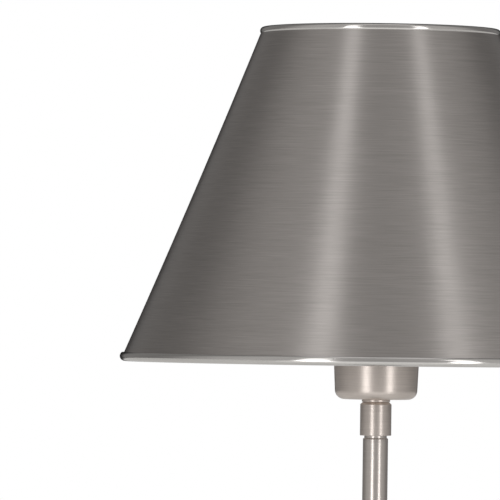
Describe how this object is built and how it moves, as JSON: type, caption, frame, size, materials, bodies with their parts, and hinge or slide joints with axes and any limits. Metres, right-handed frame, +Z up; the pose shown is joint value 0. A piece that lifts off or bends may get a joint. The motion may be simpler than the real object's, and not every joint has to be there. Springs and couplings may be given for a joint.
{
  "type": "pharmacy floor lamp",
  "caption": "Floor lamp with a conical brushed metal shade over a cup and collar on a slim sliding mast, held by a thumb screw above a weighted round base.",
  "frame": {"origin": "middle of the base's underside, on the floor", "axes": "+Z up along the mast; the cord entry faces +Y and the clamp knob +X"},
  "size_m": [0.3268, 0.3268, 1.3998],
  "materials": {
    "satin_nickel": "spun and brushed round the axis, satin nickel plate",
    "polished_nickel": "polished nickel plate",
    "drawn_nickel": "drawn tube, satin nickel plate",
    "zinc_steel": "bright zinc plate",
    "cast_iron": "raw sand casting, black primer",
    "felt_pad": "pressed felt",
    "black_nylon": "moulded nylon",
    "white_nylon": "moulded acetal",
    "holder_plastic": "moulded thermoset",
    "ceramic": "unglazed steatite",
    "brass": "pressed brass",
    "bulb_glass": "frosted inside",
    "bulb_metal": "rolled thin aluminium"
  },
  "bodies": {
    "base": {"base_pad": "felt_pad", "base_weight": "cast_iron", "base_cover": "satin_nickel", "cord_bushing": "black_nylon", "base_washer": "zinc_steel", "base_nut": "zinc_steel", "base_nipple": "zinc_steel", "base_ferrule": "satin_nickel", "outer_tube": "drawn_nickel", "foot_insert": "zinc_steel", "guide_bush": "white_nylon", "clamp_collar": "satin_nickel"},
    "brake": {"brake_pad": "white_nylon"},
    "clamp_screw": {"clamp_stud": "zinc_steel", "clamp_knob": "polished_nickel"},
    "slider": {"mast_glide": "white_nylon"},
    "head": {"mast_tube": "drawn_nickel", "mast_foot_plug": "black_nylon", "glide_keeper": "zinc_steel", "mast_end_plug": "drawn_nickel", "head_collar": "satin_nickel", "spacer_ring": "satin_nickel", "holder_cup": "satin_nickel", "head_nipple": "zinc_steel", "head_washer": "zinc_steel", "head_nut": "zinc_steel", "holder_cap": "holder_plastic", "holder_body": "holder_plastic", "holder_insert": "ceramic", "centre_contact": "brass", "thread_shell": "brass", "lower_shade_ring": "holder_plastic", "upper_shade_ring": "holder_plastic", "bulb_tip": "brass", "bulb_cap": "bulb_metal", "bulb_glass": "bulb_glass", "shade_skin": "satin_nickel", "bottom_rim": "polished_nickel", "top_rim": "polished_nickel", "shade_spider": "zinc_steel"}
  },
  "joints": [
    {"name": "mast_slide", "type": "slide", "parent": "base", "child": "slider", "axis": [0, 0, 1], "range_m": [-0.42, 0.14]},
    {"name": "mast_turn", "type": "hinge", "parent": "slider", "child": "head", "pos_m": [0, 0, 0.481], "axis": [0, 0, 1], "range_deg": [-170, 170]},
    {"name": "clamp_travel", "type": "slide", "parent": "base", "child": "brake", "axis": [1, 0, 0], "range_m": [0, 0.0015]},
    {"name": "clamp_turn", "type": "hinge", "parent": "brake", "child": "clamp_screw", "pos_m": [0.02, 0, 0.68], "axis": [1, 0, 0], "range_deg": [0, 540]}
  ],
  "couplings": [
    {"joint": "clamp_turn", "follows": "clamp_travel", "rad_per_m": 6283.2}
  ]
}
